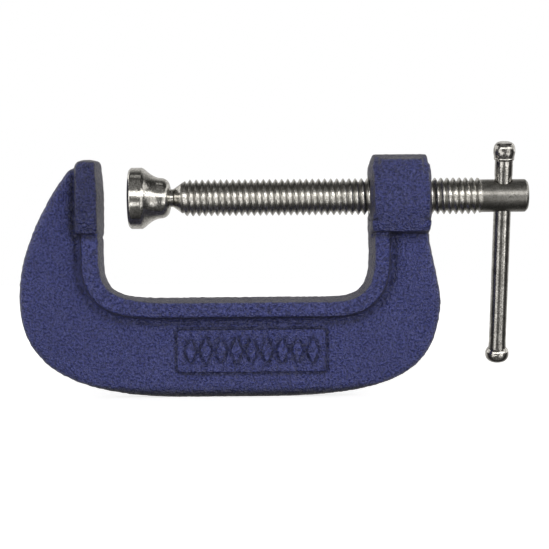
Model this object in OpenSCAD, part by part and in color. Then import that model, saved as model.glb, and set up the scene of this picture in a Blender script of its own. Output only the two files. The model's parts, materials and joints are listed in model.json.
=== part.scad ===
// Cast C-clamp with a swivel shoe and a sliding tommy bar.
// X runs along the screw from the anvil towards the tommy bar, Z is up out of
// the throat, and Y is across the casting. The origin is on the anvil face,
// where the screw's axis meets it.

/* [Throat] */
// Anvil face to the boss, along the screw
throat_length = 91.8; // [88:0.2:96]
// Screw axis to the floor of the throat
throat_depth = 34.4; // [30:0.2:38]

/* [Frame casting] */
// Screw axis to the underside of the frame
spine_drop = 68.6; // [64:0.2:74]
// Thickness of the plain web
web_thickness = 11; // [8:0.5:13]
// Width of the flange that lines the throat
flange_width = 18; // [14:0.5:20]
// Thickness of that flange, seen from the side
flange_thickness = 7.4; // [5:0.2:9]
// Length of the anvil block behind its face
anvil_length = 8.8; // [6:0.2:10]
// Height of the oval that rounds the anvil block, trimmed by the jaw
anvil_height = 34; // [28:0.5:36]
// Width of the anvil block
anvil_width = 25; // [19:0.5:28]
// Length of the threaded boss
boss_length = 21.4; // [20:0.1:24]
// Height of the threaded boss
boss_height = 29; // [26:0.2:32]
// Width of the threaded boss
boss_width = 26; // [22:0.5:30]

/* [Blank panel] */
// Length of the raised panel on each side of the web
panel_length = 51; // [40:1:56]
// Height of the raised panel
panel_height = 14.8; // [12:0.2:17]
// How far the panel stands out of the web
panel_rise = 0.6; // [0.2:0.1:1]
// Number of plain lozenges along the panel
lozenges = 9; // [1:1:11]

/* [Screw] */
// Outside diameter of the screw thread
thread_diameter = 12.7; // [12:0.1:13]
// Threads in 25.4 mm
threads_per_inch = 12; // [8:1:14]
// Diameter of the plain head at the tommy bar end
head_diameter = 11.3; // [10:0.1:12]
// Radial clearance of the screw in the boss
thread_clearance = 0.05; // [0.02:0.01:0.1]
// Anvil face to the shoe, as drawn
rest_gap = 9.1; // [2:0.1:9.5]
// Anvil face to the start of the thread, as drawn
thread_start = 27.1; // [26.6:0.1:28]
// Anvil face to the thread's run-out, as drawn
thread_end = 132.5; // [125:0.5:134]
// Anvil face to the end of the screw, as drawn
screw_end = 146.9; // [144:0.1:150]

/* [Swivel shoe] */
// Diameter of the shoe's rim
shoe_diameter = 21.2; // [20:0.2:24]
// Shoe face to its rear lip
shoe_length = 14.2; // [14:0.1:15]
// Diameter of the ball on the screw's tip
ball_diameter = 8.8; // [8.6:0.1:9]
// Diameter of the neck behind the ball
neck_diameter = 6.2; // [5:0.1:6.4]
// Radial clearance between the ball and its socket
socket_clearance = 0.06; // [0.02:0.01:0.1]

/* [Tommy bar] */
// Diameter of the bar
bar_diameter = 6.0; // [5:0.1:6]
// Anvil face to the bar, as drawn
bar_position = 138.4; // [137:0.1:140]
// Turn of the bar about the screw, top end towards -Y
bar_turn = 17; // [0:1:45]
// Radial clearance of the bar in the screw head
bar_clearance = 0.1; // [0.02:0.01:0.1]
// Screw axis to the tip of the lower knob
bar_below = 61.0; // [50:0.2:64]
// Screw axis to the top of the upper end cap
bar_above = 18.8; // [16:0.1:30]
// Diameter of the lower knob
knob_diameter = 8.3; // [7:0.1:9]
// Diameter of the upper end cap
cap_diameter = 7.7; // [6.8:0.1:9]
// Length of the upper end cap
cap_length = 6.2; // [5:0.1:8]

/* [Hidden] */
$fn = 96;

curve_steps = 16;                      // points along each stretch of outline
pitch = 25.4 / threads_per_inch;
thread_radius = thread_diameter / 2;
root_radius = thread_radius - 0.6403 * pitch;  // Whitworth thread depth
thread_flat = pitch / 6;               // width of each crest and each root
head_radius = head_diameter / 2;
shoe_radius = shoe_diameter / 2;
ball_radius = ball_diameter / 2;
neck_radius = neck_diameter / 2;
bar_radius = bar_diameter / 2;
knob_radius = knob_diameter / 2;
cap_radius = cap_diameter / 2;
bore_radius = thread_radius + thread_clearance;
ball_x = rest_gap + shoe_length - 2.8; // centre of the ball
split_gap = 0.02;                      // at the split of the one-piece screw
seat_radius = bar_radius * 0.75;       // turned-down top of the bar, in its cap
seat_end = bar_above - 1.2;
panel_centre = [throat_length / 2 + 5.3, (-throat_depth - spine_drop) / 2 - 1.2];

bright_steel = [0.72, 0.71, 0.68];
enamel = [0.24, 0.25, 0.44];

// ---- curves -------------------------------------------------------------

// Cubic curve from a to d with the handles b and c, leaving d itself out
function bezier(a, b, c, d) = [
    for (i = [0 : curve_steps - 1])
        let (t = i / curve_steps, u = 1 - t)
        a*u*u*u + 3*b*t*u*u + 3*c*t*t*u + d*t*t*t
];

// Quarter of a superellipse about centre, from angle start over 90 degrees
function corner(centre, half_x, half_z, power, start) = [
    for (i = [0 : curve_steps])
        let (a = start + 90 * i / curve_steps, c = cos(a), s = sin(a))
        centre + [sign(c) * half_x * pow(abs(c), 2 / power),
                  sign(s) * half_z * pow(abs(s), 2 / power)]
];

// Oval about the origin
function oval(half_a, half_b) =
    [for (i = [0 : 71]) [half_a * cos(5 * i), half_b * sin(5 * i)]];

// Ball centred at x on the axis, as an outline from angle a0 to a1 off the axis
function ball_arc(x, radius, a0, a1, steps = 24) = [
    for (i = [0 : steps])
        let (a = a0 + (a1 - a0) * i / steps)
        [radius * sin(a), x + radius * cos(a)]
];

// ---- shared shapes ------------------------------------------------------

// Turns an outline of [distance from the axis, x] about the screw's axis
module turned_on_x(outline)
    rotate([0, 90, 0]) rotate_extrude() polygon(outline);

// Gives an outline drawn in X and Z its thickness, centred on Y = 0
module plate(thickness)
    rotate([90, 0, 0]) linear_extrude(thickness, center = true) children();

// Oval bar along X between x0 and x1
module oval_block(x0, x1, width, height)
    translate([x0, 0, 0]) rotate([0, 90, 0])
        linear_extrude(x1 - x0) polygon(oval(height / 2, width / 2));

// Places what is drawn along Z on the tommy bar's axis
module along_bar()
    translate([bar_position, 0, 0]) rotate([bar_turn, 0, 0]) children();

// ---- frame --------------------------------------------------------------

jaw_tip = [-1, 12.4];
jaw_back = [-10.4, 10.9];
heel_side = [-28.7, -32.9];
foot_start = [28, -spine_drop];        // the underside is flat from here
foot_end = [58, -spine_drop];          // to here, so the clamp can stand
toe_side = [throat_length + 24.6, -36.9];
waist = [throat_length + 20.4, -12.9];

// Outside of the casting, from the jaw's tip round to the boss
function outer_line() = concat(
    bezier(jaw_tip, [-4, 13.4], [-7.9, 13.6], jaw_back),
    bezier(jaw_back, [-17.8, 2.6], heel_side + [0, 16], heel_side),
    bezier(heel_side, [heel_side[0], 22 - spine_drop], [-26, -spine_drop], foot_start),
    [foot_start],
    bezier(foot_end, [throat_length + 16.2, -spine_drop],
           [toe_side[0] - 1.9, 12.6 - spine_drop], toe_side),
    bezier(toe_side, toe_side + [0, 5.4], waist + [1.3, -8.5], waist),
    [waist, [waist[0], 0], [throat_length, 0]]
);

// The open throat, from the leaning top of the jaw round to the boss
module throat()
    polygon(concat(
        [[-2.3, 30], [0, 2]],
        corner([28, 20 - throat_depth], 28, 20, 4.6, 180),
        corner([throat_length - 15.8, 16.8 - throat_depth], 15.8, 16.8, 3.4, 270),
        [[throat_length, 30]]
    ));

module side_outline()
    difference() { polygon(outer_line()); throat(); }

// Band that lines the throat, from the anvil to the boss
module flange_outline()
    intersection() {
        side_outline();
        offset(r = flange_thickness) throat();
    }

// Raised panel on both sides, with plain lozenges where a name could go
module panel_on_web() {
    step = (panel_length - 4) / lozenges;
    half = panel_height * 0.32;
    translate([panel_centre[0], 0, panel_centre[1]]) {
        plate(web_thickness + 2 * panel_rise)
            square([panel_length, panel_height], center = true);
        for (i = [0 : lozenges - 1])
            translate([(i - (lozenges - 1) / 2) * step, 0, 0])
                plate(web_thickness + 4 * panel_rise)
                    polygon([[-0.4 * step, 0], [0, -half], [0.4 * step, 0], [0, half]]);
    }
}

// Bore for the screw, with a chamfer at each mouth
module boss_bore() {
    far_end = throat_length + boss_length;
    turned_on_x([
        [0, throat_length - 1], [bore_radius + 1.5, throat_length - 1],
        [bore_radius, throat_length + 0.5], [bore_radius, far_end - 0.5],
        [bore_radius + 1.5, far_end + 1], [0, far_end + 1]
    ]);
}

module frame() color(enamel)
    difference() {
        union() {
            plate(web_thickness) side_outline();
            plate(flange_width) flange_outline();
            intersection() {
                oval_block(-anvil_length, 0, anvil_width, anvil_height);
                plate(anvil_width + 1) side_outline();
            }
            oval_block(throat_length, throat_length + boss_length,
                       boss_width, boss_height);
            panel_on_web();
        }
        boss_bore();
    }

// ---- screw --------------------------------------------------------------

// One ridge for each turn of thread, with flat crests and roots
function ridges(x0, x1) =
    let (turns = floor((x1 - x0) / pitch), flank = pitch / 2 - thread_flat)
    [ for (i = [0 : turns - 1]) each
        let (x = x0 + i * pitch)
        [[root_radius, x],
         [thread_radius, x + flank],
         [thread_radius, x + flank + thread_flat],
         [root_radius, x + 2 * flank + thread_flat]] ];

// Threaded length and plain head, cross-drilled for the tommy bar
module spindle() color(bright_steel)
    difference() {
        turned_on_x(concat(
            [[0, thread_start + split_gap], [root_radius, thread_start + split_gap]],
            ridges(thread_start + 2 * split_gap, thread_end),
            [[head_radius, thread_end + 1], [head_radius, screw_end - 0.8],
             [head_radius - 0.8, screw_end], [0, screw_end]]
        ));
        along_bar()
            cylinder(h = 4 * head_radius, r = bar_radius + bar_clearance, center = true);
    }

// Ball, neck and cone at the tip of the same screw
module spindle_ball_end() color(bright_steel) {
    neck_angle = asin(neck_radius / ball_radius);
    neck_end = ball_x + ball_radius * cos(neck_angle) + 0.6;
    turned_on_x(concat(
        [[0, thread_start], [root_radius, thread_start], [neck_radius, neck_end]],
        ball_arc(ball_x, ball_radius, neck_angle, 180)
    ));
}

// ---- shoe ---------------------------------------------------------------

// Turned shoe whose rear lip is closed round the ball
module swivel_shoe() color(bright_steel) {
    lip_radius = neck_radius + 0.8;
    hub_radius = 7.0;
    socket_radius = ball_radius + socket_clearance;
    lip_angle = asin(lip_radius / socket_radius);
    turned_on_x(concat(
        [[0, rest_gap], [shoe_radius - 0.8, rest_gap],
         [shoe_radius, rest_gap + 0.8], [shoe_radius, rest_gap + 4.7]],
        [for (i = [0 : 12])                 // concave flare from rim to hub
            let (t = i / 12)
            [hub_radius + (shoe_radius - 0.2 - hub_radius) * pow(1 - t, 1.75),
             rest_gap + 5.5 + 5.5 * t]],
        [for (i = [1 : 8])                  // rounded shoulder of the hub
            let (a = 90 * i / 8)
            [lip_radius + 0.1 + (hub_radius - 0.1 - lip_radius) * cos(a),
             rest_gap + 11 + (shoe_length - 11) * sin(a)]],
        ball_arc(ball_x, socket_radius, lip_angle, 180)
    ));
}

// ---- tommy bar ----------------------------------------------------------

// Bar with its lower knob, turned down at the top to take the cap
module tommy_bar() color(bright_steel)
    along_bar() rotate_extrude() {
        knob_drop = 0.78 * knob_radius;    // the knob is flattened, most of all below
        polygon(concat(
            [[0, -bar_below]],
            [for (i = [1 : 20])
                let (a = -90 + 6.6 * i, square = a < 0 ? 0.74 : 1)
                [knob_radius * pow(cos(a), square),
                 knob_drop * (1 + sign(a) * pow(abs(sin(a)), square)) - bar_below]],
            [[bar_radius, 2.15 * knob_drop - bar_below],
             [bar_radius, bar_above - cap_length], [seat_radius, bar_above - cap_length],
             [seat_radius, seat_end], [0, seat_end]]
        ));
    }

// Cap pressed on the top of the bar once it is through the screw head
module tommy_bar_end_cap() color(bright_steel)
    along_bar() rotate_extrude()
        polygon(concat(
            [[0, seat_end], [seat_radius, seat_end],
             [seat_radius, bar_above - cap_length]],
            [for (i = [0 : 12])                // barrel, widest near the middle
                let (t = i / 12, bulge = 1 - pow(abs(2 * t - 1), 2.5))
                [cap_radius * (0.9 - 0.18 * t * t + (0.1 + 0.06 * t) * bulge),
                 bar_above + cap_length * (t - 1)]],
            [[0, bar_above]]
        ));

frame();
spindle();
spindle_ball_end();
swivel_shoe();
tommy_bar();
tommy_bar_end_cap();
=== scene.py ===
"""Looks of the C-clamp: enamelled casting, plated screw, swivel shoe and tommy bar.

Lengths are in millimetres while a mesh is worked out, and in metres once it is in Blender.
X runs along the screw, Z is up, and the camera looks along +Y.
"""
import json
import math

import bmesh
import bpy
import numpy as np
from mathutils import Matrix, Vector


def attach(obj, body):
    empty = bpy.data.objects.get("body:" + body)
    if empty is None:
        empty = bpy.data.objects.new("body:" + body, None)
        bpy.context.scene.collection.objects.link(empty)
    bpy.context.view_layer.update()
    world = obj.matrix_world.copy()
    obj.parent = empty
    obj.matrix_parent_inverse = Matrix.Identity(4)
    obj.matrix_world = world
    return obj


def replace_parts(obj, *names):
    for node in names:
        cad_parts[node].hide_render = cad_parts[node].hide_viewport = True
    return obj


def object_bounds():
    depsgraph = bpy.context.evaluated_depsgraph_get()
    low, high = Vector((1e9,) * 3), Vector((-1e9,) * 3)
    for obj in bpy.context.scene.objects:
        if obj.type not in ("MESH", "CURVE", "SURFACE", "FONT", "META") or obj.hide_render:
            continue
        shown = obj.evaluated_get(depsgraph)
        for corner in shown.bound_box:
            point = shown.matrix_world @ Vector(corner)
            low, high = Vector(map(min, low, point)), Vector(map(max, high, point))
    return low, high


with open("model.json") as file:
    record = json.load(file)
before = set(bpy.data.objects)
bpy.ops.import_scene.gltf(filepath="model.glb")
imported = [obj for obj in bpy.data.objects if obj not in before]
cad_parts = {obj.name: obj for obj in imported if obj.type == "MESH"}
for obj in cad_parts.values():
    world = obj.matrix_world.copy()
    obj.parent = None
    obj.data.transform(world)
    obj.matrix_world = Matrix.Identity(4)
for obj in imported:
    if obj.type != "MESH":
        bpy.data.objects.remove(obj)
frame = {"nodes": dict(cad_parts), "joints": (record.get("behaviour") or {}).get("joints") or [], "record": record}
cad_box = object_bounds()

MM = 0.001
JOINTS = {joint["name"]: joint for joint in frame["joints"]}


# ---- reading the CAD model ------------------------------------------------------------

def node_points(node):
    """All corners of a CAD node, in millimetres."""
    mesh = frame["nodes"][node].data
    points = np.zeros(len(mesh.vertices) * 3)
    mesh.vertices.foreach_get("co", points)
    return points.reshape(-1, 3) / MM


def span(node):
    """Lowest and highest corner of a CAD node, in millimetres."""
    points = node_points(node)
    return points.min(0), points.max(0)


def flat_levels(node):
    """Heights |y| of the faces that look straight along Y, largest area first, in millimetres."""
    area = {}
    for face in frame["nodes"][node].data.polygons:
        if abs(face.normal.y) > 0.9999:
            level = round(abs(face.center.y) / MM, 2)
            area[level] = area.get(level, 0) + face.area
    return sorted(area, key=area.get, reverse=True)


def section(node, y):
    """Edges that a CAD node leaves in the plane at y, as [start, end] points in X and Z."""
    cut = bmesh.new()
    cut.from_mesh(frame["nodes"][node].data)
    bmesh.ops.bisect_plane(cut, geom=cut.verts[:] + cut.edges[:] + cut.faces[:], dist=1e-7,
                           plane_co=(0, y * MM, 0), plane_no=(0, 1, 0),
                           clear_inner=True, clear_outer=True)
    ends = [[(v.co.x / MM, v.co.z / MM) for v in edge.verts] for edge in cut.edges]
    cut.free()
    return np.array(ends)


# ---- mesh helpers ---------------------------------------------------------------------

def new_piece(name, points, faces, body, slot, sharp_deg=40):
    """A smooth-shaded piece from points in millimetres that rides on a body."""
    mesh = bpy.data.meshes.new(name)
    mesh.from_pydata((np.asarray(points) * MM).tolist(), [], np.asarray(faces, object).tolist())
    tidy = bmesh.new()
    tidy.from_mesh(mesh)
    bmesh.ops.remove_doubles(tidy, verts=tidy.verts, dist=2e-7)
    bmesh.ops.dissolve_degenerate(tidy, edges=tidy.edges, dist=1e-7)
    bmesh.ops.recalc_face_normals(tidy, faces=tidy.faces)
    tidy.to_mesh(mesh)
    tidy.free()
    mesh.polygons.foreach_set("use_smooth", [True] * len(mesh.polygons))
    mesh.set_sharp_from_angle(angle=math.radians(sharp_deg))
    piece = bpy.data.objects.new(name, mesh)
    bpy.context.scene.collection.objects.link(piece)
    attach(piece, body)
    return piece


def smoothstep(low, high, x):
    t = np.clip((x - low) / (high - low), 0, 1)
    return t * t * (3 - 2 * t)


def rounded(corners, steps=5):
    """A profile through corners given as (x, radius, fillet); a fillet of 0 keeps the corner."""
    out = []
    for i, (x, r, fillet) in enumerate(corners):
        here = np.array([x, r], float)
        if not fillet:
            out.append(here)
            continue
        before = np.array(corners[i - 1][:2], float) - here
        after = np.array(corners[i + 1][:2], float) - here
        reach = min(fillet, 0.49 * np.linalg.norm(before), 0.49 * np.linalg.norm(after))
        start = here + before / np.linalg.norm(before) * reach
        end = here + after / np.linalg.norm(after) * reach
        for k in range(steps + 1):
            t = k / steps
            out.append((1 - t) ** 2 * start + 2 * t * (1 - t) * here + t * t * end)
    return out


def lathe(profile, segments=128):
    """Points and faces of a body turned about X; the profile's first and last points are on X."""
    profile = np.array(profile, float)
    turn = np.arange(segments) * 2 * math.pi / segments
    x = np.repeat(profile[:, 0], segments)
    radius = np.repeat(profile[:, 1], segments)
    around = np.tile(turn, len(profile))
    points = np.c_[x, radius * np.cos(around), radius * np.sin(around)]
    return points, grid_faces(len(profile), segments, 0)


def grid_faces(rows, columns, shift):
    """Quads of rows of points joined in rings; each ring's end joins the row shift further on."""
    faces = []
    for row in range(rows - 1):
        for k in range(columns):
            wrap = k + 1 == columns
            across = row + (shift if wrap else 0)
            if across + 1 < rows:
                a, b = row * columns + k, across * columns + (k + 1) % columns
                faces.append((a, b, b + columns, a + columns))
    return faces


def turned_to(axis, x):
    """A matrix that puts what lies on +X onto the line through (x, 0, 0) along axis."""
    turn = Vector((1, 0, 0)).rotation_difference(Vector(axis)).to_matrix().to_4x4()
    return Matrix.Translation((x, 0, 0)) @ turn


def placed(points, matrix):
    """Points in millimetres after a matrix in millimetres."""
    m = np.array(matrix)
    return points @ m[:3, :3].T + m[:3, 3]


def drill(piece, points, faces):
    """Cuts a closed cutter, given in millimetres, out of a piece."""
    mesh = bpy.data.meshes.new("cutter")
    mesh.from_pydata((points * MM).tolist(), [], faces)
    cutter = bpy.data.objects.new("cutter", mesh)
    bpy.context.scene.collection.objects.link(cutter)
    clean = bmesh.new()
    clean.from_mesh(mesh)
    bmesh.ops.remove_doubles(clean, verts=clean.verts, dist=1e-7)
    bmesh.ops.recalc_face_normals(clean, faces=clean.faces)
    clean.to_mesh(mesh)
    clean.free()
    cut = piece.modifiers.new("cut", "BOOLEAN")
    cut.operation = "DIFFERENCE"
    cut.object = cutter
    cut.solver = "EXACT"
    bpy.context.view_layer.update()
    graph = bpy.context.evaluated_depsgraph_get()
    shaped = bpy.data.meshes.new_from_object(piece.evaluated_get(graph))
    piece.modifiers.clear()
    piece.data = shaped
    shaped.polygons.foreach_set("use_smooth", [True] * len(shaped.polygons))
    shaped.set_sharp_from_angle(angle=math.radians(35))
    bpy.data.objects.remove(cutter)


# ---- distance fields, negative inside the metal ------------------------------------------

class FlatDistance:
    """Distance to an outline in X and Z, looked up from a grid that is slightly blurred."""

    STEP = 0.25

    def __init__(self, edges, low, high, blur=0.35):
        self.low = np.array([low[0], low[2]], float) - 2
        top = np.array([high[0], high[2]], float) + 2
        counts = np.ceil((top - self.low) / self.STEP).astype(int) + 1
        px, pz = np.meshgrid(self.low[0] + self.STEP * np.arange(counts[0]),
                             self.low[1] + self.STEP * np.arange(counts[1]), indexing="ij")
        near = np.full(px.shape, 1e9)
        inside = np.zeros(px.shape, bool)
        for (x0, z0), (x1, z1) in edges:
            dx, dz = x1 - x0, z1 - z0
            t = np.clip(((px - x0) * dx + (pz - z0) * dz) / max(dx * dx + dz * dz, 1e-9), 0, 1)
            near = np.minimum(near, (px - x0 - t * dx) ** 2 + (pz - z0 - t * dz) ** 2)
            if x0 != x1:
                under = (x0 > px) != (x1 > px)
                inside ^= under & (z0 + (px - x0) * dz / dx < pz)
        field = np.where(inside, -1, 1) * np.sqrt(near)
        self.field = blurred(field, blur / self.STEP)

    def __call__(self, x, z):
        f = self.field
        u = np.clip((x - self.low[0]) / self.STEP, 0, f.shape[0] - 1.001)
        v = np.clip((z - self.low[1]) / self.STEP, 0, f.shape[1] - 1.001)
        i, j = u.astype(int), v.astype(int)
        u, v = u - i, v - j
        return ((1 - u) * ((1 - v) * f[i, j] + v * f[i, j + 1])
                + u * ((1 - v) * f[i + 1, j] + v * f[i + 1, j + 1]))


def blurred(field, sigma):
    reach = int(3 * sigma) + 1
    weights = np.exp(-0.5 * (np.arange(-reach, reach + 1) / sigma) ** 2)
    weights /= weights.sum()
    for axis in (0, 1):
        padding = [(reach, reach) if a == axis else (0, 0) for a in (0, 1)]
        padded = np.pad(field, padding, "edge")
        field = sum(weight * np.take(padded, range(i, i + field.shape[axis]), axis)
                    for i, weight in enumerate(weights))
    return field


def join(a, b, radius):
    """Union with a fillet."""
    h = np.maximum(radius - np.abs(a - b), 0) / radius
    return np.minimum(a, b) - h * h * radius / 4


def meet(a, b, radius):
    """Overlap with a rounded edge."""
    return -join(-a, -b, radius)


def slab(outline, height, half, edge):
    """An outline raised to half on both sides of Y = 0, with a rounded edge."""
    a, b = outline + edge, height - half + edge
    return np.hypot(np.maximum(a, 0), np.maximum(b, 0)) + np.minimum(np.maximum(a, b), 0) - edge


def oval(y, z, half_y, half_z):
    """Distance to an oval bar along X, good near its surface."""
    k0 = np.hypot(y / half_y, z / half_z)
    k1 = np.hypot(y / half_y ** 2, z / half_z ** 2)
    return k0 * (k0 - 1) / np.maximum(k1, 1e-6)


def full_oval(y, z, half_y, half_z):
    """The same for an oval with fuller shoulders."""
    a, b = np.abs(y) / half_y, np.abs(z) / half_z
    k0 = np.cbrt(a ** 3 + b ** 3)
    k1 = np.hypot(a ** 2 / half_y, b ** 2 / half_z)
    return k0 ** 2 * (k0 - 1) / np.maximum(k1, 1e-9)


def rectangle(a, b, half_a, half_b, corner=0.0):
    qa, qb = np.abs(a) - half_a + corner, np.abs(b) - half_b + corner
    return np.hypot(np.maximum(qa, 0), np.maximum(qb, 0)) + np.minimum(np.maximum(qa, qb), 0) - corner


def ripple(x, y, z, size, seed):
    """Smooth repeatable noise of about -1 to 1 with waves of about size millimetres."""
    rng = np.random.default_rng(seed)
    total = 0
    for _ in range(16):
        d = rng.normal(size=3)
        d *= 2 * math.pi / size * rng.uniform(0.7, 1.3) / np.linalg.norm(d)
        total = total + np.cos(x * d[0] + y * d[1] + z * d[2] + rng.uniform(0, 2 * math.pi))
    return total / 4


def surface_net(values, low, step):
    """Points and quads where a grid of values changes sign, facing the positive side."""
    inside = values < 0
    n = np.array(values.shape) - 1
    corners = [(i, j, k) for i in (0, 1) for j in (0, 1) for k in (0, 1)]
    count = sum(inside[i:n[0] + i, j:n[1] + j, k:n[2] + k].astype(np.int8) for i, j, k in corners)
    cells = np.argwhere((count > 0) & (count < 8))
    index = np.full(n, -1, np.int64)
    index[tuple(cells.T)] = np.arange(len(cells))
    total, hits = np.zeros((len(cells), 3)), np.zeros((len(cells), 1))
    for a in corners:
        for b in corners:
            if sum(b) - sum(a) == 1 and all(q >= p for p, q in zip(a, b)):
                va, vb = values[tuple((cells + a).T)], values[tuple((cells + b).T)]
                crossing = ((va < 0) != (vb < 0))[:, None]
                t = (va / np.where(va == vb, 1, va - vb))[:, None]
                total += np.where(crossing, np.array(a) * (1 - t) + np.array(b) * t, 0)
                hits += crossing
    points = low + step * (cells + total / hits)
    quads = []
    for axis in range(3):
        u, v = (axis + 1) % 3, (axis + 2) % 3
        first = np.take(inside, range(n[axis]), axis)
        second = np.take(inside, range(1, n[axis] + 1), axis)
        at = np.argwhere(first != second)
        at = at[(at[:, u] > 0) & (at[:, v] > 0) & (at[:, u] < n[u]) & (at[:, v] < n[v])]
        du, dv = np.eye(3, dtype=int)[u], np.eye(3, dtype=int)[v]
        ring = np.stack([index[tuple((at - du - dv).T)], index[tuple((at - dv).T)],
                         index[tuple(at.T)], index[tuple((at - du).T)]], 1)
        outward = first[tuple(at.T)][:, None]
        quads.append(np.where(outward, ring, ring[:, ::-1]))
    return points, np.vstack(quads)


# ---- the casting ------------------------------------------------------------------------

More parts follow.
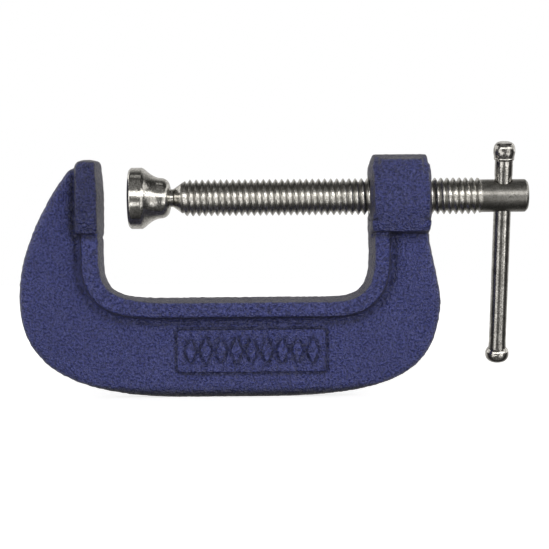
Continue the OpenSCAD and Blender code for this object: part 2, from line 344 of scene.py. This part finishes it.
class Casting:
    """The frame as a distance field, with the draft, fillets and skin that a sand casting has."""

    THROAT_DRAFT = 1.9       # how far the throat's lining falls back from mid-plane to flange face
    JAW_DRAFT = 0.65         # the same at the anvil, which is squared up
    SKIN = 0.06              # height of the sand-cast skin
    PARTING = 0.10           # height of the line where the mould's halves met

    def __init__(self):
        self.low, self.high = span("frame")
        self.web, self.flange = sorted(flat_levels("frame")[:2])
        points = node_points("frame")
        boss = points[np.abs(points[:, 1]) > self.high[1] - 0.4]
        self.boss_x = boss[:, 0].min(), boss[:, 0].max()
        self.boss_half = self.high[1], points[points[:, 0] > self.boss_x[0]][:, 2].max()
        self.boss_mid = sum(self.boss_x) / 2
        wide = points[(points[:, 0] < 0.01) & (np.abs(points[:, 1]) > self.flange + 0.3)]
        self.anvil_back = wide[:, 0].min()
        half = np.abs(wide[:, 1]).max()
        side = wide[np.abs(wide[:, 1]) < half - 1]
        self.anvil_half = half, np.median(np.abs(side[:, 2]) / np.sqrt(1 - (side[:, 1] / half) ** 2))
        self.read_outlines()
        self.read_panel()

    def read_outlines(self):
        """Distance maps of the whole outline, of the flange and of the open throat."""
        whole = section("frame", self.web - 0.1)
        self.outline = FlatDistance(whole, self.low, self.high)
        self.lining = FlatDistance(section("frame", self.flange - 0.05), self.low, self.high)
        x, z = whole[:, :, 0], whole[:, :, 1]
        floor = z[(x > 20) & (x < 60) & (z < 0)].max()
        lean = 1.1
        inner = (x > -lean) & (x < self.boss_x[0] + 0.05) & (z > floor - 0.05)
        self.throat = FlatDistance(whole[inner.all(1)], self.low, self.high)
        self.floor = floor

    def read_panel(self):
        """Where the raised panel is, and how far it and its lozenges stand out."""
        self.panel_rise, self.lozenge_rise = sorted(flat_levels("frame")[2:4])
        points = node_points("frame")
        points = points[(points[:, 2] < self.floor) & (np.abs(points[:, 1]) < self.flange - 0.5)]
        on_panel = points[np.abs(np.abs(points[:, 1]) - self.panel_rise) < 0.02]
        low, high = on_panel.min(0), on_panel.max(0)
        self.panel_mid = (low + high) / 2
        self.panel_half = (high - low) / 2
        tips = points[np.abs(np.abs(points[:, 1]) - self.lozenge_rise) < 0.02]
        across = np.unique(np.round(tips[np.abs(tips[:, 2] - self.panel_mid[2]) < 0.02][:, 0], 2))
        self.lozenge_count = len(across) // 2
        self.lozenge_step = (across[-1] - across[0]) / (self.lozenge_count - 0.2)
        self.lozenge_half = 0.4 * self.lozenge_step, np.ptp(tips[:, 2]) / 2

    def boss_ends(self, x, h, z):
        """Distance past the boss's drafted and slightly domed ends."""
        start = self.boss_x[0] + 0.12 * h + 0.043 * np.maximum(z - 8, 0) ** 2
        end = self.boss_x[1] - 0.08 * h - 0.0062 * z * z
        return np.maximum(start - x, x - end)

    def boss(self, x, h, y, z):
        """Threaded boss."""
        return meet(oval(y, z, *self.boss_half), self.boss_ends(x, h, z), 1.1)

    def anvil(self, x, h, y, z, outline):
        """Anvil block: part of a full oval bar with a stepped foot, trimmed by the jaw's outline."""
        half_y, half_z = self.anvil_half
        foot = half_z * math.sqrt(1 - (self.flange / half_y) ** 2) + 0.7
        block = meet(full_oval(y, z, half_y, half_z), self.anvil_back + 0.04 * h - x, 1.6)
        block = meet(block, -z - foot, 0.8)
        return meet(block, outline + self.JAW_DRAFT * h / self.flange, 1.3)

    def panel(self, x, h, z):
        """Raised panel with a row of lozenges on it, and the depth of the crease round both."""
        px, pz = x - self.panel_mid[0], z - self.panel_mid[2]
        plate = rectangle(px, pz, self.panel_half[0], self.panel_half[2], 1.2)
        step = self.lozenge_step
        row = (self.lozenge_count - 1) / 2
        near = np.clip(np.round(px / step + row), 0, 2 * row) - row
        wide, tall = self.lozenge_half
        lozenge = (np.abs(px - near * step) / wide + np.abs(pz) / tall - 1) / math.hypot(1 / wide, 1 / tall)
        raised = join(slab(plate, h, self.panel_rise, 0.2),
                      slab(lozenge, h, self.lozenge_rise, 0.2), 0.2)
        crease = np.exp(-((plate - 0.4) / 0.45) ** 2) + np.exp(-((lozenge - 0.4) / 0.45) ** 2)
        return raised, 0.35 * crease

    def bore(self, x, y, z):
        """Room for the screw, with a chamfer at each mouth."""
        radius = max(span("spindle")[1][1], 0) + 0.05
        inward = np.minimum(x - self.boss_x[0], self.boss_x[1] - x)
        hole = np.hypot(y, z) - radius - np.clip(0.9 - inward, 0, 2)
        return np.maximum(hole, -inward - 3)

    def distance(self, x, y, z):
        h = np.abs(y)
        outline = self.outline(x, z)
        behind_bore = rectangle(x - self.boss_mid, z, self.boss_mid - self.boss_x[0], 8.2)
        outline = np.minimum(outline, behind_bore)
        inside_boss = self.boss_ends(x, h, z) + 1.2 - 60 * smoothstep(-8, -14, z)
        outline = np.where(x > self.boss_x[0] - 4, np.maximum(outline, inside_boss), outline)
        web = slab(outline, h, self.web, 3.2)
        beside = self.lining(x, z) + 0.22 * np.maximum(h - self.web, 0)
        metal = join(web, slab(beside, h, self.flange, 0.9), 2.0)
        metal = metal + 0.45 * np.exp(-((beside - 1.3) / 0.9) ** 2)
        panel, crease = self.panel(x, h, z)
        metal = join(metal, panel, 0.4) + crease
        draft = self.JAW_DRAFT + (self.THROAT_DRAFT - self.JAW_DRAFT) * smoothstep(2, 22, x)
        opening = -self.throat(x, z)
        metal = meet(metal, opening + draft * h / self.flange, 0.9)
        anvil = self.anvil(x, h, y, z, outline)
        metal = join(metal, anvil, 0.6) + 0.4 * np.exp(-((anvil - 0.9) / 0.5) ** 2)
        metal = join(metal, self.boss(x, h, y, z), 2.0)
        past_boss = self.boss_ends(x, 0 * h, z) - 60 * smoothstep(-13, -19, z)
        metal = np.where(x > self.boss_x[0] - 4, np.maximum(metal, past_boss), metal)
        metal = np.maximum(metal, opening)
        metal = meet(metal, -self.bore(x, y, z), 0.5)
        parting = self.PARTING * np.exp(-(y / 0.45) ** 2) * smoothstep(-2.5, -0.5, outline)
        skin = self.SKIN * ripple(x, y, z, 2.1, 5) + 0.03 * ripple(x, y, z, 7, 6)
        return metal - parting - skin


def build_casting():
    """The frame's visible mesh: a net over the field's grid, then drawn exactly onto the surface."""
    casting = Casting()
    step = 0.5
    low = casting.low - 1.25
    counts = np.ceil((casting.high + 1.25 - low) / step).astype(int) + 1
    axes = [low[a] + step * np.arange(counts[a]) for a in range(3)]
    values = np.empty(counts)
    for i, x in enumerate(axes[0]):
        y, z = np.meshgrid(axes[1], axes[2], indexing="ij")
        values[i] = casting.distance(np.full(y.shape, x), y, z)
    points, quads = surface_net(values, low, step)
    reach = 0.08
    for _ in range(3):
        x, y, z = points.T
        here = casting.distance(x, y, z)
        slope = np.stack([casting.distance(x + reach, y, z) - casting.distance(x - reach, y, z),
                          casting.distance(x, y + reach, z) - casting.distance(x, y - reach, z),
                          casting.distance(x, y, z + reach) - casting.distance(x, y, z - reach)], 1)
        slope /= 2 * reach
        move = -slope * (here / np.maximum((slope ** 2).sum(1), 0.2))[:, None]
        points = points + np.clip(move, -0.2, 0.2)
    points = np.clip(points, casting.low, casting.high)
    return new_piece("cast_frame", points, quads, "frame", "enamelled_casting", 60)


# ---- the screw --------------------------------------------------------------------------

def screw_sizes():
    """Pitch, crest and root radii, head radius and the ends of the screw, from the CAD model."""
    points = node_points("spindle")
    radius = np.hypot(points[:, 1], points[:, 2])
    low, high = points[:, 0].min(), points[:, 0].max()
    pitch = 2 * math.pi / frame["record"]["behaviour"]["couplings"][0]["ratio"] / MM
    head = radius[points[:, 0] > high - 1.5].max()
    crest = radius.max()
    return {"low": low, "high": high, "pitch": pitch, "crest": crest,
            "root": crest - 0.6403 * pitch, "head": head,
            "thread_end": points[radius > crest - 0.01][:, 0].max() + pitch / 2}


def thread_radius(x, turn, size):
    """Radius of a rounded thread, topped by the lead-in cone and filled in at the run-out."""
    phase = 2 * math.pi * (x / size["pitch"] - turn / (2 * math.pi))
    wave = np.cos(phase) + 0.07 * np.cos(3 * phase)
    depth = size["crest"] - size["root"]
    ridge = size["root"] + depth * (0.5 + 0.5 * wave / 1.07)
    cone = size["root"] + 0.02 + 0.62 * (x - size["low"])
    ridge = np.minimum(ridge, cone + 0.0 * turn)
    filled = size["head"] - depth * smoothstep(0, 2.4, size["thread_end"] - x) * 1.0
    filled = np.where(x < size["thread_end"] - 2.4, 0, filled)
    lowered = size["crest"] - (size["crest"] - size["head"]) * smoothstep(-1.8, 0.4, x - size["thread_end"])
    return np.minimum(np.maximum(ridge, filled), lowered)


def build_screw():
    """Threaded length and drilled head; rings lean with the helix, so each crest is one edge."""
    size = screw_sizes()
    segments, per_turn = 96, 16
    end = size["thread_end"] + 0.6
    rows = int((end - size["low"]) / size["pitch"] * per_turn) + 2 * per_turn
    i, j = np.meshgrid(np.arange(rows), np.arange(segments), indexing="ij")
    turn = 2 * math.pi * j / segments
    x = size["low"] + size["pitch"] * ((i - per_turn) / per_turn + j / segments)
    x = np.clip(x, size["low"], end)
    radius = thread_radius(x, turn, size)
    points = np.c_[x.ravel(), (radius * np.cos(turn)).ravel(), (radius * np.sin(turn)).ravel()]
    faces = grid_faces(rows, segments, per_turn)
    start_face, start_quads = lathe([(size["low"], 0.0), (size["low"], radius[0, 0])], segments)
    head = rounded([(end, size["head"], 0), (size["high"] - 0.9, size["head"], 0.3),
                    (size["high"], size["head"] - 0.9, 0.35), (size["high"], 0, 0)])
    head_points, head_quads = lathe(head, segments)
    meshes = [(points, faces), (start_face, start_quads), (head_points, head_quads)]
    piece = new_piece("threaded_screw", *merged(meshes), "spindle", "spindle_steel", 50)
    slide = JOINTS["tommy_slide"]
    low, high = span("tommy_bar")
    place = turned_to(slide["axis"], (low[0] + high[0]) / 2)
    hole = bar_radius() + 0.12
    mouth = size["head"] + 0.1
    cutter = [(-12, 0), (-12, hole + 6), (-mouth, hole + 0.45), (-mouth + 1.2, hole),
              (mouth - 1.2, hole), (mouth, hole + 0.45), (12, hole + 6), (12, 0)]
    cutter_points, cutter_faces = lathe(cutter, 48)
    drill(piece, placed(cutter_points, place), cutter_faces)
    return piece


def merged(meshes):
    """Several (points, faces) as one."""
    points, faces, count = [], [], 0
    for some, quads in meshes:
        points.append(some)
        faces += [tuple(count + k for k in quad) for quad in quads]
        count += len(some)
    return np.vstack(points), faces


def ball_arc(x, radius, start, end, steps=28):
    """Profile of a ball about x on the axis, between two angles off +X in degrees."""
    angles = np.radians(np.linspace(start, end, steps + 1))
    return [(x + radius * math.cos(a), max(radius * math.sin(a), 0)) for a in angles]


def ball_place():
    return JOINTS["shoe_swivel"]["pos_m"][0] / MM


def build_ball_end():
    """Ball, waisted neck and the start of the cone."""
    low, high = span("spindle_ball_end")
    ball_x = ball_place()
    ball = ball_x - low[0]
    root = screw_sizes()["root"]
    neck = 3.1
    angle = math.degrees(math.asin(neck / ball))
    neck_start = ball_x + ball * math.cos(math.radians(angle))
    cone = rounded([(neck_start, neck, 0), (neck_start + 0.7, neck - 0.05, 0.5),
                    (high[0], root, 0), (high[0], 0, 0)], 8)
    profile = ball_arc(ball_x, ball, 180, angle)[:-1] + cone
    points, faces = lathe(profile, 96)
    return new_piece("screw_ball_end", points, faces, "spindle_tip", "spindle_steel", 50)


# ---- the shoe -----------------------------------------------------------------------------

def build_shoe():
    """Turned shoe: rim, bevel, hollow flare, rounded hub and a lip closed round the ball."""
    low, high = span("swivel_shoe")
    face, rim, length = low[0], high[2], high[0] - low[0]
    hub, lip = 7.0, 3.95
    ball_x = ball_place()
    socket = ball_x - span("spindle_ball_end")[0][0] + 0.06
    outside = rounded([(face, 0, 0), (face, rim - 0.8, 0.3), (face + 0.8, rim, 0.35),
                       (face + 4.6, rim, 0.25), (face + 5.5, rim - 0.55, 0)])
    flare = [(face + 5.5 + 5.5 * t, hub + (rim - 0.55 - hub) * (1 - t) ** 1.75)
             for t in np.linspace(0, 1, 19)[1:]]
    shoulder = [(face + 11 + (length - 11) * math.sin(a), lip + (hub - lip) * math.cos(a))
                for a in np.linspace(0.1, math.pi / 2, 14)]
    angle = math.degrees(math.asin(lip / socket))
    inside = ball_arc(ball_x, socket, angle, 180)
    profile = [tuple(p) for p in outside] + flare + shoulder + inside
    points, faces = lathe(profile, 160)
    return new_piece("turned_shoe", points, faces, "shoe", "shoe_steel", 28)


# ---- the tommy bar ------------------------------------------------------------------------

def along_bar(node):
    """Lowest and highest place of a node along the bar, from the screw's axis."""
    points = node_points(node) @ np.array(JOINTS["tommy_slide"]["axis"])
    return points.min(), points.max()


def bar_radius():
    low, high = span("tommy_bar")
    points = node_points("tommy_bar")
    axis = np.array(JOINTS["tommy_slide"]["axis"])
    along = points @ axis
    middle = np.array([(low[0] + high[0]) / 2, 0, 0])
    away = np.linalg.norm(points - middle - np.outer(along, axis), axis=1)
    return np.median(away[along > 0][away[along > 0] > 2.5])


def bar_place():
    low, high = span("tommy_bar")
    return turned_to(JOINTS["tommy_slide"]["axis"], (low[0] + high[0]) / 2)


def build_tommy_bar():
    """Drawn bar with its flattened knob below and its turned-down seat above."""
    bottom, top = along_bar("tommy_bar")
    cap_bottom = along_bar("tommy_bar_end_cap")[0]
    low, high = span("tommy_bar")
    knob, shaft = (high[0] - low[0]) / 2, bar_radius()
    drop = 0.78 * knob
    angles = np.radians(np.linspace(0, 131, 36))
    square = np.where(angles < math.pi / 2, 0.74, 1.0)
    rise = np.sign(np.cos(angles)) * np.abs(np.cos(angles)) ** square
    arc = list(zip(bottom + drop * (1 - rise), knob * np.sin(angles) ** square))
    neck = bottom + 2.15 * drop
    fair = [(neck - 0.1, shaft + 0.06), (neck + 0.9, shaft)]
    seat = shaft * 0.75
    upset = shaft + 0.1
    profile = arc + fair + [(cap_bottom - 6.0, shaft), (cap_bottom - 5.0, upset),
                            (cap_bottom, upset), (cap_bottom, seat), (top, seat), (top, 0)]
    points, faces = lathe(profile, 96)
    return new_piece("sliding_bar", placed(points, bar_place()), faces, "tommy_bar", "bar_steel", 40)


def build_end_cap():
    """Barrel-shaped cap with a lip where it was spun onto the bar."""
    bottom, top = along_bar("tommy_bar_end_cap")
    shaft, length = bar_radius(), top - bottom
    wide = (span("tommy_bar_end_cap")[1][0] - span("tommy_bar_end_cap")[0][0]) / 2
    seat_end = along_bar("tommy_bar")[1]
    profile = [(seat_end, 0), (seat_end, shaft * 0.75), (bottom, shaft * 0.75)]
    profile += rounded([(bottom, wide * 0.5, 0), (bottom, wide * 0.88, 0.25),
                        (bottom + 0.75, wide * 0.93, 0.3), (bottom + 1.0, wide * 0.9, 0.2),
                        (bottom + 0.45 * length, wide, 2.0), (bottom + 0.8 * length, wide * 0.93, 1.2),
                        (top, wide * 0.68, 0.8), (top, 0, 0)], 8)
    points, faces = lathe(profile, 96)
    return new_piece("bar_end_cap", placed(points, bar_place()), faces, "tommy_bar", "bar_steel", 40)


# ---- materials ------------------------------------------------------------------------------

class Nodes:
    """A node tree that is built by short calls."""

    def __init__(self, owner):
        owner.use_nodes = True
        self.tree = owner.node_tree
        self.tree.nodes.clear()

    def add(self, kind, inputs=None, **settings):
        node = self.tree.nodes.new("ShaderNode" + kind)
        for key, value in settings.items():
            setattr(node, key, value)
        for key, value in (inputs or {}).items():
            if isinstance(value, bpy.types.NodeSocket):
                self.tree.links.new(value, node.inputs[key])
            else:
                node.inputs[key].default_value = value
        return node.outputs

    def math(self, operation, a, b=0.0, c=0.0):
        return self.add("Math", {0: a, 1: b, 2: c}, operation=operation)[0]

    def ramp(self, value, low, high, start=0.0, end=1.0, smooth=False):
        """value from low..high to start..end, held at both ends."""
        inputs = {"Value": value, "From Min": low, "From Max": high, "To Min": start, "To Max": end}
        kind = "SMOOTHSTEP" if smooth else "LINEAR"
        return self.add("MapRange", inputs, interpolation_type=kind)["Result"]


class Shader(Nodes):
    """A material with noise, tool marks and bumps at real scale."""

    def __init__(self, name):
        self.material = bpy.data.materials.new(name)
        super().__init__(self.material)
        self.place = self.add("TexCoord")["Object"]

    def noise(self, size_mm, detail=2.0, rough=0.5, place=None):
        """Noise with features of about size_mm, 0 to 1 round a mean of 0.5."""
        inputs = {"Vector": place or self.place, "Scale": 1 / (size_mm * MM), "Detail": detail,
                  "Roughness": rough}
        return self.add("TexNoise", inputs)["Fac"]

    def mix(self, factor, a, b):
        """Colour a to colour b."""
        inputs = {0: factor, 6: colour(a), 7: colour(b)}
        return self.add("Mix", inputs, data_type="RGBA")[2]

    def stretched(self, scale):
        """Coordinates stretched per axis, for marks that run one way."""
        return self.add("Mapping", {"Vector": self.place, "Scale": scale})[0]

    def bump(self, height, strength, distance_mm, under=None):
        inputs = {"Height": height, "Strength": strength, "Distance": distance_mm * MM}
        if under is not None:
            inputs["Normal"] = under
        return self.add("Bump", inputs)[0]

    def painted_hollow_shade(self, reach_mm, low, high, most):
        """How far a point lies in a corner or hollow of about reach_mm, up to most; the mask for painted shade."""
        open_air = self.add("AmbientOcclusion", {"Distance": reach_mm * MM}, samples=8)["AO"]
        return self.ramp(open_air, low, high, most, 0.0)

    def finish(self, **inputs):
        shader = self.add("BsdfPrincipled", {k.replace("_", " "): v for k, v in inputs.items()})
        self.add("OutputMaterial", {"Surface": shader[0]})
        return self.material


def colour(value):
    return value if isinstance(value, bpy.types.NodeSocket) else (*value, 1.0)


def enamel():
    """Violet-blue stoved enamel on a sand-cast skin, with painted shade in the hollows, in the pits of the skin
    and on the anvil block and boss, and grey on faces turned sideways: partly worn paint, partly a painted grazing
    reflection.
    """
    s = Shader("enamel")
    skin = s.noise(0.78, 1.0, 0.5)
    grain = s.noise(0.42, 1.0, 0.5)
    cloud = s.noise(14.0, 2.0, 0.5)
    height = s.math("MULTIPLY_ADD", grain, 0.35, s.math("MULTIPLY", skin, 0.65))
    # Mottled tone that follows the skin's height: partly random tone, partly painted shade in the skin's pits.
    base = s.mix(s.ramp(height, 0.40, 0.60), (0.025, 0.031, 0.132), (0.090, 0.107, 0.385))
    base = s.mix(s.ramp(cloud, 0.35, 0.75, 0.0, 0.2), base, (0.030, 0.036, 0.150))
    place = s.add("SeparateXYZ", {0: s.add("TexCoord")["Object"]})
    # Painted shade on the anvil block and the boss, the parts that stand out past the flange faces, heavier on the
    # anvil than on the boss.
    proud = s.ramp(s.math("ABSOLUTE", place["Y"]), 0.0090, 0.0098)
    painted_block_shade = s.math("MULTIPLY", proud, s.ramp(place["X"], 0.010, 0.060, 0.46, 0.15))
    base = s.mix(painted_block_shade, base, (0.004, 0.006, 0.030))
    # Grey on faces turned sideways to Y, more on the high grains: partly worn paint, partly a painted grazing
    # reflection.
    facing = s.add("SeparateXYZ", {0: s.add("TexCoord")["Normal"]})["Y"]
    turned_sideways = s.ramp(s.math("ABSOLUTE", facing), 0.62, 0.30)
    wear_and_grazing_sheen = s.math("MULTIPLY", turned_sideways, s.ramp(height, 0.38, 0.56, 0.3, 0.85))
    base = s.mix(wear_and_grazing_sheen, base, (0.050, 0.044, 0.043))
    # Painted shade in the casting's corners, grooves and creases, from occlusion within 5 mm and within 1.6 mm.
    base = s.mix(s.painted_hollow_shade(5.0, 0.50, 0.97, 0.9), base, (0.004, 0.006, 0.030))
    base = s.mix(s.painted_hollow_shade(1.6, 0.55, 0.92, 0.9), base, (0.004, 0.006, 0.030))
    rough = s.ramp(cloud, 0.3, 0.7, 0.29, 0.37)
    bump = s.bump(height, 1.0, 2.0)
    return s.finish(Base_Color=base, Roughness=rough, Normal=bump, IOR=1.72)


def plated(name, dark, bright, marks, rough_low, rough_high):
    """Plated steel: marks is a function that gives the height of the tool marks."""
    s = Shader(name)
    height, strength, depth = marks(s)
    cloud = s.noise(3.5, 3.0, 0.6)
    base = s.mix(s.ramp(cloud, 0.42, 0.72, 0.0, 0.8), bright, dark)
    speck = s.noise(0.42, 2.0, 0.6)
    base = s.mix(s.ramp(speck, 0.58, 0.38, 0.0, 0.85), base, dark)
    rough = s.ramp(s.noise(0.9, 3.0, 0.6), 0.3, 0.7, rough_low, rough_high)
    return s, base, rough, s.bump(height, strength, depth)


def thread_steel():
    """Rolled, plated thread: bright, rounded crests, darker and duller in the roots."""
    size = screw_sizes()

    def marks(s):
        along = s.stretched((1, 0.15, 0.15))
        return s.noise(0.35, 3.0, 0.6, along), 0.25, 0.05
    s, base, rough, bump = plated("thread_steel", (0.30, 0.29, 0.26), (0.90, 0.88, 0.84), marks, 0.14, 0.30)
    outward = s.add("VectorMath", {0: s.place, 1: (0.0, 1.0, 1.0)}, operation="MULTIPLY")[0]
    radius = s.add("VectorMath", {0: outward}, operation="LENGTH")["Value"]
    deep = s.ramp(radius, (size["root"] + 0.05) * MM, (size["root"] + 0.6) * MM, 1.0, 0.0)
    in_thread = s.ramp(s.add("SeparateXYZ", {0: s.place})["X"], (size["thread_end"] - 1) * MM,
                       (size["thread_end"] + 0.5) * MM, 1.0, 0.0)
    deep = s.math("MULTIPLY", deep, in_thread)
    base = s.mix(s.math("MULTIPLY", deep, 0.8), base, (0.20, 0.19, 0.17))
    on_head = s.math("SUBTRACT", 1.0, in_thread)
    base = s.mix(s.math("MULTIPLY", on_head, 0.65), base, (0.16, 0.155, 0.145))
    rough = s.math("ADD", rough, s.math("MULTIPLY", deep, 0.2))
    rough = s.math("ADD", rough, s.math("MULTIPLY", on_head, 0.12))
    return s.finish(Base_Color=base, Metallic=1.0, Roughness=rough,
                    Normal=softened(s, bump, outward, s.math("MULTIPLY", in_thread, 0.5)))


def softened(s, normal, outward, share):
    """A normal leant towards the radius: the rolled thread's flanks are rounder than drawn."""
    radial = s.add("VectorTransform", {0: outward}, vector_type="VECTOR",
                   convert_from="OBJECT", convert_to="WORLD")[0]
    radial = s.add("VectorMath", {0: radial}, operation="NORMALIZE")[0]
    leant = s.add("Mix", {0: share, 4: normal, 5: radial}, data_type="VECTOR")[1]
    return s.add("VectorMath", {0: leant}, operation="NORMALIZE")[0]


def turned_steel(name):
    """Lathe-turned and plated: fine rings round the axis."""
    def marks(s):
        rings = s.stretched((1, 0.02, 0.02))
        return s.noise(0.30, 4.0, 0.65, rings), 0.16, 0.03
    s, base, rough, bump = plated(name, (0.36, 0.35, 0.32), (0.90, 0.88, 0.84), marks, 0.10, 0.26)
    return s.finish(Base_Color=base, Metallic=1.0, Roughness=rough, Normal=bump)


def bar_steel():
    """Drawn bar: long scratches down its length, and a mottled plating."""
    def marks(s):
        long = s.add("VectorRotate", {"Vector": s.place, "Angle": bar_lean()}, rotation_type="X_AXIS")[0]
        long = s.add("Mapping", {"Vector": long, "Scale": (1, 1, 0.06)})[0]
        return s.noise(0.5, 3.0, 0.6, long), 0.10, 0.03
    s, base, rough, bump = plated("bar_steel", (0.26, 0.25, 0.23), (0.88, 0.86, 0.82), marks, 0.08, 0.20)
    return s.finish(Base_Color=base, Metallic=1.0, Roughness=rough, Normal=bump)


def bar_lean():
    axis = JOINTS["tommy_slide"]["axis"]
    return math.atan2(axis[1], axis[2])


def dress(piece, material):
    piece.data.materials.clear()
    piece.data.materials.append(material)


# ---- studio -----------------------------------------------------------------------------------

def build_world():
    """White backdrop, dark at the sides and dim in front, so bright metal shows dark and light bands."""
    world = bpy.data.worlds.new("studio")
    bpy.context.scene.world = world
    w = Nodes(world)
    way = w.add("SeparateXYZ", {0: w.add("TexCoord")["Generated"]})
    backdrop = w.ramp(way["Y"], 0.20, 0.85, 0.04, 0.62, smooth=True)
    backdrop = w.math("MULTIPLY", backdrop, w.ramp(way["Z"], -0.9, -0.3, 0.65, 1.0))
    room = w.ramp(way["Y"], -0.05, -0.55, 0.0, 1.0, smooth=True)
    below = w.ramp(way["Z"], -0.85, -0.25, 0.07, 0.12, smooth=True)
    level = w.math("ADD", backdrop, w.math("MULTIPLY", room, below))
    seen = w.add("LightPath")["Is Camera Ray"]
    lit = w.add("Background", {"Color": (1.0, 0.985, 0.96, 1.0), "Strength": level})[0]
    white = w.add("Background", {"Color": (1.0, 1.0, 1.0, 1.0), "Strength": 1.0})[0]
    w.add("OutputWorld", {"Surface": w.add("MixShader", {0: seen, 1: lit, 2: white})[0]})


def softbox(name, target, azimuth, elevation, width_deg, height_deg, radiance, distance=0.6):
    """A rectangular light at angles as seen from target; azimuth is from -Y towards +X."""
    a, e = math.radians(azimuth), math.radians(elevation)
    way = Vector((math.sin(a) * math.cos(e), -math.cos(a) * math.cos(e), math.sin(e)))
    light = bpy.data.lights.new(name, "AREA")
    light.shape = "RECTANGLE"
    light.size = 2 * distance * math.tan(math.radians(width_deg / 2))
    light.size_y = 2 * distance * math.tan(math.radians(height_deg / 2))
    light.energy = radiance * math.pi * light.size * light.size_y
    light.color = (1.0, 0.985, 0.96)
    lamp = bpy.data.objects.new(name, light)
    lamp.location = target + way * distance
    lamp.rotation_mode = "QUATERNION"
    lamp.rotation_quaternion = way.to_track_quat("Z", "Y")
    lamp.visible_camera = False
    bpy.context.scene.collection.objects.link(lamp)


def build_lights(target):
    """Left and right, bright strips above and below a dimmer panel; a soft light from above."""
    softbox("upper_left", target, -22, 17, 54, 17, 2.7)
    softbox("lower_left", target, -28, -22, 48, 12, 1.3)
    softbox("low_left", target, -42, -34, 32, 9, 0.75)
    softbox("left_panel", target, -48, -3, 42, 22, 0.9)
    softbox("upper_right", target, 40, 17, 72, 18, 2.1)
    softbox("lower_right", target, 40, -22, 40, 12, 1.0)
    softbox("low_right", target, 38, -34, 34, 9, 0.4)
    softbox("right_panel", target, 43, -4, 34, 22, 0.65)
    softbox("side_panel", target, 55, 7, 20, 60, 0.35, 0.22)
    softbox("overhead", target, 0, 88, 30, 12, 0.4)
    softbox("left_fill", target, -105, 25, 50, 36, 0.9)
    softbox("right_fill", target, 105, 22, 50, 36, 0.8)


def build_floor(z):
    """Pale floor: white to the camera with a faint contact shadow, left out of reflections."""
    mesh = bpy.data.meshes.new("floor")
    half = 6.0
    mesh.from_pydata([(-half, -half, z), (half, -half, z), (half, half, z), (-half, half, z)], [],
                     [(0, 1, 2, 3)])
    floor = bpy.data.objects.new("floor", mesh)
    bpy.context.scene.collection.objects.link(floor)
    s = Shader("pale_floor")
    seen = s.add("LightPath")["Is Camera Ray"]
    paper = s.add("BsdfDiffuse", {"Color": (0.80, 0.80, 0.80, 1.0)})[0]
    away = s.add("VectorMath", {0: s.place, 1: (0.06, 0.0, z)}, operation="DISTANCE")["Value"]
    glow = s.add("Emission", {"Color": (1.0, 1.0, 1.0, 1.0),
                              "Strength": s.ramp(away, 0.20, 0.50, 0.74, 1.0)})[0]
    lit = s.add("AddShader", {0: paper, 1: glow})[0]
    unseen = s.add("BsdfTransparent")[0]
    mixed = s.add("MixShader", {0: seen, 1: unseen, 2: lit})[0]
    s.add("OutputMaterial", {"Surface": mixed})
    dress(floor, s.material)


def build_camera(low, high):
    """The photograph's view: level, square on to the screw, from a little over half a metre."""
    camera = bpy.data.cameras.new("camera")
    camera.sensor_width = 36.0
    camera.lens = 100.4
    camera.clip_start, camera.clip_end = 0.05, 20.0
    obj = bpy.data.objects.new("camera", camera)
    distance = 0.53
    place = Vector(((low.x + high.x) / 2 + 0.0001, -distance, (low.z + high.z) / 2 - 0.0018))
    obj.location = place
    obj.rotation_mode = "QUATERNION"
    level = Vector((0, -1, 0)).to_track_quat("Z", "Y")
    roll = Matrix.Rotation(math.radians(-0.45), 3, "Z").to_quaternion()
    obj.rotation_quaternion = level @ roll
    bpy.context.scene.collection.objects.link(obj)
    bpy.context.scene.camera = obj


# ---- the object -----------------------------------------------------------------------------

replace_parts(build_casting(), "frame")
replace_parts(build_screw(), "spindle")
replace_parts(build_ball_end(), "spindle_ball_end")
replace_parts(build_shoe(), "swivel_shoe")
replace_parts(build_tommy_bar(), "tommy_bar")
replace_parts(build_end_cap(), "tommy_bar_end_cap")

steel = turned_steel("turned_steel")
drawn = bar_steel()
dress(bpy.data.objects["cast_frame"], enamel())
dress(bpy.data.objects["threaded_screw"], thread_steel())
dress(bpy.data.objects["screw_ball_end"], steel)
dress(bpy.data.objects["turned_shoe"], steel)
dress(bpy.data.objects["sliding_bar"], drawn)
dress(bpy.data.objects["bar_end_cap"], drawn)

bpy.context.scene.view_settings.view_transform = "Standard"
build_world()
build_lights((cad_box[0] + cad_box[1]) / 2)
build_floor(cad_box[0].z)
build_camera(*cad_box)
